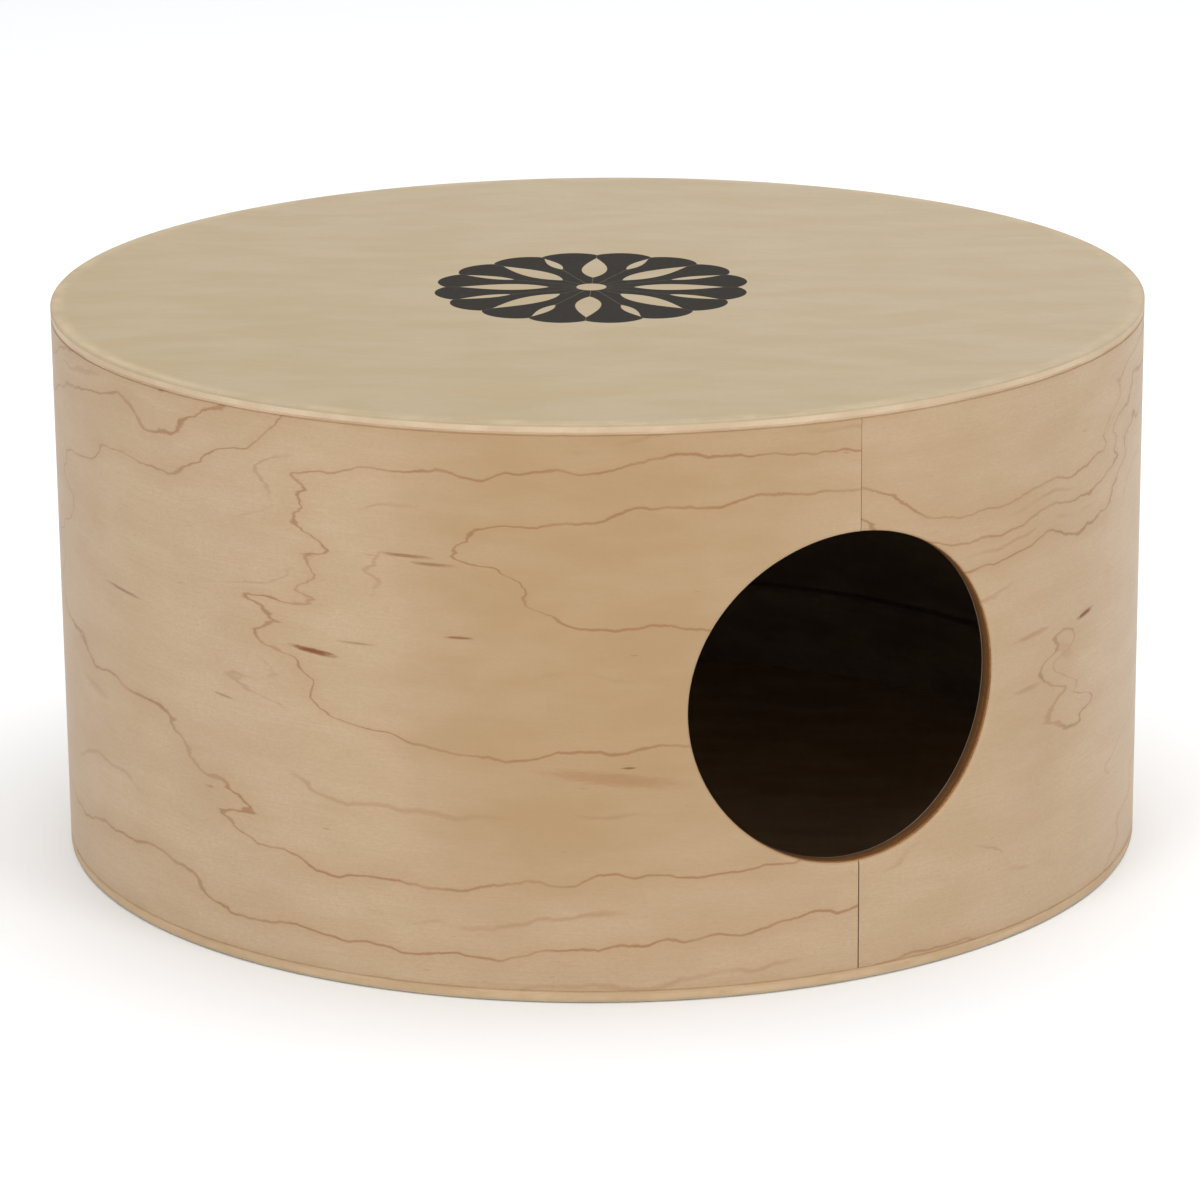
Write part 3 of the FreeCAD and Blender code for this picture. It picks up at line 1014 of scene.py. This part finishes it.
def plate_veneer_finish(name, printed):
    """The plates' face veneer: pale, straight grained, with the print on the playing side."""
    finish, graph, shader = new_finish(name, specular=0.08)
    place = graph.position()
    turned = graph.turned(graph.in_mm(place), -PLATE_GRAIN_TURN)
    swing = graph.minus(graph.noise(graph.stretched(turned, (120, 60, 40)), 2), 0.5)
    swing = graph.vector(0, graph.times(swing, 46), 0)
    shifted = graph.node("VectorMath", {0: turned, 1: swing}, operation="ADD").outputs[0]
    wood = graph.group(WOOD_FIBRES, Grain_Position=shifted)
    x, y, _ = graph.parts(place)
    # Painted sheen: the veneer's colour pales steadily across the plate towards +x, mixed with its own
    # mottling.
    across = graph.plus(x, graph.times(y, 0.4))
    mottle_and_painted_sheen = graph.blend(0.55, graph.ramp(wood["Mottle"], 0.34, 0.68), graph.ramp(across, -RADIUS, RADIUS))
    tone = graph.colour(mottle_and_painted_sheen, PLATE_DEEP, PLATE_PALE_AND_PAINTED_SHEEN)
    bands = graph.noise(graph.stretched(shifted, (400, 9, 9)), 2, 0.6)
    tone = graph.tinted(tone, PLATE_BAND, graph.ramp(bands, 0.5, 0.72), 0.16)
    sanded = graph.noise(graph.stretched(turned, (1.3, 0.8, 0.8)), 3, 0.7)
    tone = graph.tinted(tone, PLATE_FIBRE, graph.ramp(sanded, 0.6, 0.4), 0.16)
    tone = graph.tinted(tone, PLATE_FIBRE, graph.ramp(wood["Fibre"], 0.66, 0.36), 0.3)
    tone = graph.tinted(tone, PLATE_PORE, wood["Pores"], 0.3)
    tone = graph.tinted(tone, PLATE_FIBRE, wood["Specks"], 0.3)
    # Painted highlight: a pale cream band along the plate's rounded rim.
    rim_mask = graph.group(
        NEAR_RIM_BAND,
        Position=place,
        Edge_Radius=RADIUS - PLATE_EDGE_RADIUS,
        Edge_Height=HEIGHT if printed else 0,
        Reach=3 * MM,
    )
    tone = graph.tinted(tone, PLATE_RIM_PAINTED_HIGHLIGHT, rim_mask["Near Rim"], 0.6)
    roughness = graph.blend(wood["Fibre"], 0.66, 0.5)
    relief = graph.minus(wood["Fibre"], graph.times(wood["Pores"], 0.8))
    if printed:
        middle = graph.node("VectorMath", {0: turned, 1: ROSETTE_SHIFT_MM}, operation="SUBTRACT")
        rosette = graph.group(PRINTED_ROSETTE, Place=middle.outputs[0])
        starved = graph.ramp(graph.noise(graph.stretched(turned, (2.4, 0.5, 0.5)), 3), 0.3, 0.42)
        ink = graph.times(rosette["Ink"], graph.blend(starved, 0.93, 1))
        tone = graph.tinted(tone, INK, ink, 0.97)
        roughness = graph.blend(ink, roughness, 0.55)
        relief = graph.plus(relief, graph.times(ink, 0.4))
    graph.feed(shader["Base Color"], tone)
    graph.feed(shader["Roughness"], roughness)
    raise_surface(graph, shader, relief, 0.02 * MM)
    return finish


def wood_finish(name, pale, deep, grain_turn=0.0, round_shell=False):
    """Plain wood out of the light: fibres and mottling only."""
    finish, graph, shader = new_finish(name, specular=0.35)
    place = graph.position()
    if round_shell:
        grain = wall_grain(graph, graph.group(UNROLLED_WALL, Position=place), 11)
    else:
        grain = graph.turned(graph.in_mm(place), -grain_turn)
    wood = graph.group(WOOD_FIBRES, Grain_Position=grain)
    tone = graph.colour(graph.ramp(wood["Mottle"], 0.35, 0.67), deep, pale)
    tone = graph.tinted(tone, deep, graph.ramp(wood["Fibre"], 0.66, 0.34), 0.45)
    dark = tuple(0.45 * part for part in deep[:3]) + (1,)
    tone = graph.tinted(tone, dark, wood["Pores"], 0.35)
    graph.feed(shader["Base Color"], tone)
    graph.feed(shader["Roughness"], graph.blend(wood["Fibre"], 0.68, 0.52))
    raise_surface(graph, shader, wood["Fibre"], 0.03 * MM)
    return finish


def shell_core_finish():
    """The drilled edge of the shell's inner plies: alternate plies, glue lines, a little scorch and painted
    shade that deepens away from the face.
    """
    finish, graph, shader = new_finish("shell_core_plies", roughness=0.6, specular=0.15)
    place = graph.position()
    wall = graph.group(UNROLLED_WALL, Position=place)
    wood = graph.group(WOOD_FIBRES, Grain_Position=wall_grain(graph, wall, 23))
    across = graph.minus(wall["Depth"], VENEER_DEPTH / MM)
    ply = graph.math("PINGPONG", across, CORE_PLY_DEPTH_MM)
    band = graph.ramp(ply, 0.35 * CORE_PLY_DEPTH_MM, 0.65 * CORE_PLY_DEPTH_MM)
    tone = graph.colour(band, CORE_PALE, CORE_DEEP)
    tone = graph.tinted(tone, CORE_GLUE_AND_PAINTED_SHADE, graph.ramp(wood["Fibre"], 0.6, 0.3), 0.5)
    glue_gap = graph.math("PINGPONG", across, CORE_PLY_DEPTH_MM / 2)
    glue = graph.minus(1, graph.ramp(glue_gap, 0.03, 0.1))
    glue = graph.times(glue, graph.ramp(across, 0.05, 0.15))
    tone = graph.tinted(tone, CORE_GLUE_AND_PAINTED_SHADE, glue, 0.6)
    # Painted shade: the plies darken steadily deeper into the hole, away from the face.
    tone = graph.tinted(tone, CORE_GLUE_AND_PAINTED_SHADE, graph.ramp(across, 0.2, 3.2), 0.75)
    scorch = graph.ramp(graph.noise(graph.stretched(place, (0.012, 0.012, 0.02)), 3), 0.4, 0.75)
    tone = graph.tinted(tone, CORE_GLUE_AND_PAINTED_SHADE, scorch, 0.35)
    graph.feed(shader["Base Color"], tone)
    graph.feed(shader["Roughness"], graph.blend(wood["Fibre"], 0.7, 0.5))
    raise_surface(graph, shader, wood["Fibre"], 0.04 * MM)
    return finish


def steel_finish(name, clean, dull, roughness, stretch, bump):
    """Bare or plated steel, drawn, rolled or stamped, with a little tarnish."""
    finish, graph, shader = new_finish(name, metallic=1, roughness=roughness)
    in_mm = graph.in_mm(graph.position())
    brushed = graph.noise(graph.stretched(in_mm, stretch), 3, 0.6)
    tarnish = graph.ramp(graph.noise(graph.stretched(in_mm, (6, 6, 4)), 4, 0.6), 0.45, 0.75)
    tone = graph.colour(graph.times(brushed, 0.4), clean, dull)
    tone = graph.tinted(tone, dull, tarnish, 0.6)
    graph.feed(shader["Base Color"], tone)
    graph.feed(shader["Roughness"], graph.blend(tarnish, roughness, roughness + 0.22))
    raise_surface(graph, shader, brushed, bump)
    return finish


def floor_finish():
    """Pale studio board, barely mottled."""
    finish, graph, shader = new_finish("studio_floor", roughness=0.75, specular=0.2)
    cloud = graph.noise(graph.stretched(graph.position(), (0.4, 0.4, 0.4)), 2)
    graph.feed(shader["Base Color"], graph.colour(cloud, FLOOR_DEEP, FLOOR_PALE))
    return finish


# ---- Making the object ----

UNROLLED_WALL = unrolled_wall()
GROWTH_RINGS = growth_rings()
WOOD_FIBRES = wood_fibres()
MINERAL_STREAK = mineral_streak()
NEAR_RIM_BAND = near_rim_band()
PRINTED_ROSETTE = printed_rosette()


def make_wall():
    settle(
        wall_sheet(0, VENEER_DEPTH, seam=True),
        "wall_face_veneer", "shell_veneer", shell_veneer_finish(), "shell_face_veneer",
    )
    settle(
        wall_sheet(VENEER_DEPTH, LINING_DEPTH),
        "wall_core_plies", "ply_core", shell_core_finish(), "shell_core_plies",
    )
    settle(
        wall_sheet(LINING_DEPTH, WALL_DEPTH),
        "wall_lining_veneer", "lining_veneer",
        wood_finish("lining_veneer", INSIDE_PALE, INSIDE_DEEP, round_shell=True), "shell_lining_veneer",
    )


def make_plates():
    # The playing plate's plies carry a painted highlight along the top rim in their pale colours.
    inner = wood_finish("playing_plate_inner_ply", RIM_PALE_WITH_PAINTED_HIGHLIGHT, RIM_DEEP, PLATE_GRAIN_TURN)
    across = PLATE_GRAIN_TURN + math.pi / 2
    core = wood_finish("playing_plate_core_ply", RIM_CORE_PALE_WITH_PAINTED_HIGHLIGHT, RIM_CORE_DEEP_WITH_PAINTED_HIGHLIGHT, across)
    # The foot plate's plies: a darker, warmer copy of the playing plate's plies, painted shade and warm
    # bounce light near the floor.
    foot_inner = wood_finish("foot_plate_inner_ply", FOOT_PALE_WITH_PAINTED_LIGHT, FOOT_DEEP_WITH_PAINTED_LIGHT, PLATE_GRAIN_TURN)
    foot_core = wood_finish("foot_plate_core_ply", FOOT_DEEP_WITH_PAINTED_LIGHT, FOOT_PALE_WITH_PAINTED_LIGHT, across)
    face = plate_veneer_finish("playing_face_veneer", True)
    foot_face = plate_veneer_finish("foot_face_veneer", False)
    blank = turned_blank()
    layers = (
        ("inner_ply", "lining_veneer", SHELL_HIGH, CORE_PLY_LOW, inner, foot_inner),
        ("core_ply", "ply_core", CORE_PLY_LOW, FACE_PLY_LOW, core, foot_core),
        ("face_ply", "plate_veneer", FACE_PLY_LOW, HEIGHT, face, foot_face),
    )
    for layer, slot, low, high, top_finish, bottom_finish in layers:
        ply = split_ply(blank, low, high)
        other = turned_over(ply)
        settle(ply, "playing_plate_" + layer, slot, top_finish, "top_plate_" + layer)
        settle(other, "foot_plate_" + layer, slot, bottom_finish, "bottom_plate_" + layer)
    bpy.data.objects.remove(blank)


def make_snare():
    wire = steel_finish("snare_wire", WIRE_CLEAN, WIRE_DULL, 0.28, (0.8, 0.3, 0.3), 0.005 * MM)
    first = wound_strand()
    for number in range(1, STRAND_COUNT + 1):
        strand = copy_of(first)
        set_across(strand, (number - (STRAND_COUNT + 1) / 2) * STRAND_PITCH)
        settle(strand, f"wound_strand_{number:02d}", "snare_wire", wire, f"snare_strand_{number:02d}")
    bpy.data.objects.remove(first)


def finish_node(finish, *names):
    """Give CAD nodes that stay as they are their finish."""
    for name in names:
        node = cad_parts[name]
        node.data.materials.clear()
        node.data.materials.append(finish)


def finish_inside():
    hoops = wood_finish("hoop_wood", INSIDE_PALE, INSIDE_DEEP, round_shell=True)
    finish_node(hoops, "upper_hoop", "lower_hoop")
    blocks = wood_finish("block_wood", BLOCK_PALE, BLOCK_DEEP, math.pi / 2)
    finish_node(blocks, "snare_block_left", "snare_block_right")
    stamped = steel_finish("end_plate_steel", STAMPED_CLEAN, STAMPED_DULL, 0.34, (0.25, 9, 9), 0.008 * MM)
    finish_node(stamped, "snare_end_plate_left", "snare_end_plate_right")
    screws = steel_finish("screw_steel", SCREW_CLEAN, SCREW_DULL, 0.3, (1.2, 1.2, 0.3), 0.008 * MM)
    finish_node(screws, "end_plate_screws", "block_screws")


# ---- Studio ----


def soft_light(name, azimuth, height, distance, width, tall, power):
    """A soft box on the floor's circle round the object, its azimuth counted from the hole."""
    lamp = bpy.data.lights.new(name, "AREA")
    lamp.shape = "RECTANGLE"
    lamp.size = width
    lamp.size_y = tall
    lamp.energy = power
    stand = bpy.data.objects.new(name, lamp)
    bpy.context.scene.collection.objects.link(stand)
    angle = math.radians(azimuth)
    stand.location = (distance * math.sin(angle), -distance * math.cos(angle), height)
    aim = Vector((0, 0, HEIGHT / 2)) - stand.location
    stand.rotation_euler = aim.to_track_quat("-Z", "Y").to_euler()


def make_studio():
    start_bench()
    bpy.ops.mesh.primitive_plane_add(size=FLOOR_WIDTH, location=(0, 0, -FLOOR_DROP))
    floor = bpy.context.object
    floor.name = "studio_floor"
    floor.data.materials.append(floor_finish())
    world = bpy.data.worlds.new("studio_air")
    bpy.context.scene.world = world
    world.use_nodes = True
    air = Graph(world.node_tree)
    seen = air.node("LightPath").outputs["Is Camera Ray"]
    sky = world.node_tree.nodes["Background"]
    sky.inputs["Color"].default_value = (1, 1, 1, 1)
    air.feed(sky.inputs["Strength"], air.blend(seen, AIR_STRENGTH, AIR_SEEN))
    for name, box in SOFT_BOXES.items():
        soft_light(name, *box)
    bpy.context.scene.view_settings.view_transform = "Standard"


def make_camera():
    lens = bpy.data.cameras.new("studio_camera")
    lens.lens = CAMERA_LENS_MM
    lens.sensor_width = CAMERA_SENSOR_MM
    camera = bpy.data.objects.new("studio_camera", lens)
    bpy.context.scene.collection.objects.link(camera)
    azimuth = math.radians(CAMERA_AZIMUTH)
    elevation = math.radians(CAMERA_ELEVATION)
    away = CAMERA_DISTANCE * math.cos(elevation)
    up = CAMERA_DISTANCE * math.sin(elevation)
    place = Vector((away * math.sin(azimuth), -away * math.cos(azimuth), up))
    aim = Euler((math.pi / 2 - math.radians(CAMERA_TILT), 0, azimuth)).to_matrix().to_4x4()
    roll = Matrix.Rotation(math.radians(CAMERA_ROLL), 4, "Z")
    camera.matrix_world = Matrix.Translation(place) @ aim @ roll
    bpy.context.scene.camera = camera


make_wall()
make_plates()
make_snare()
finish_inside()
make_studio()
make_camera()
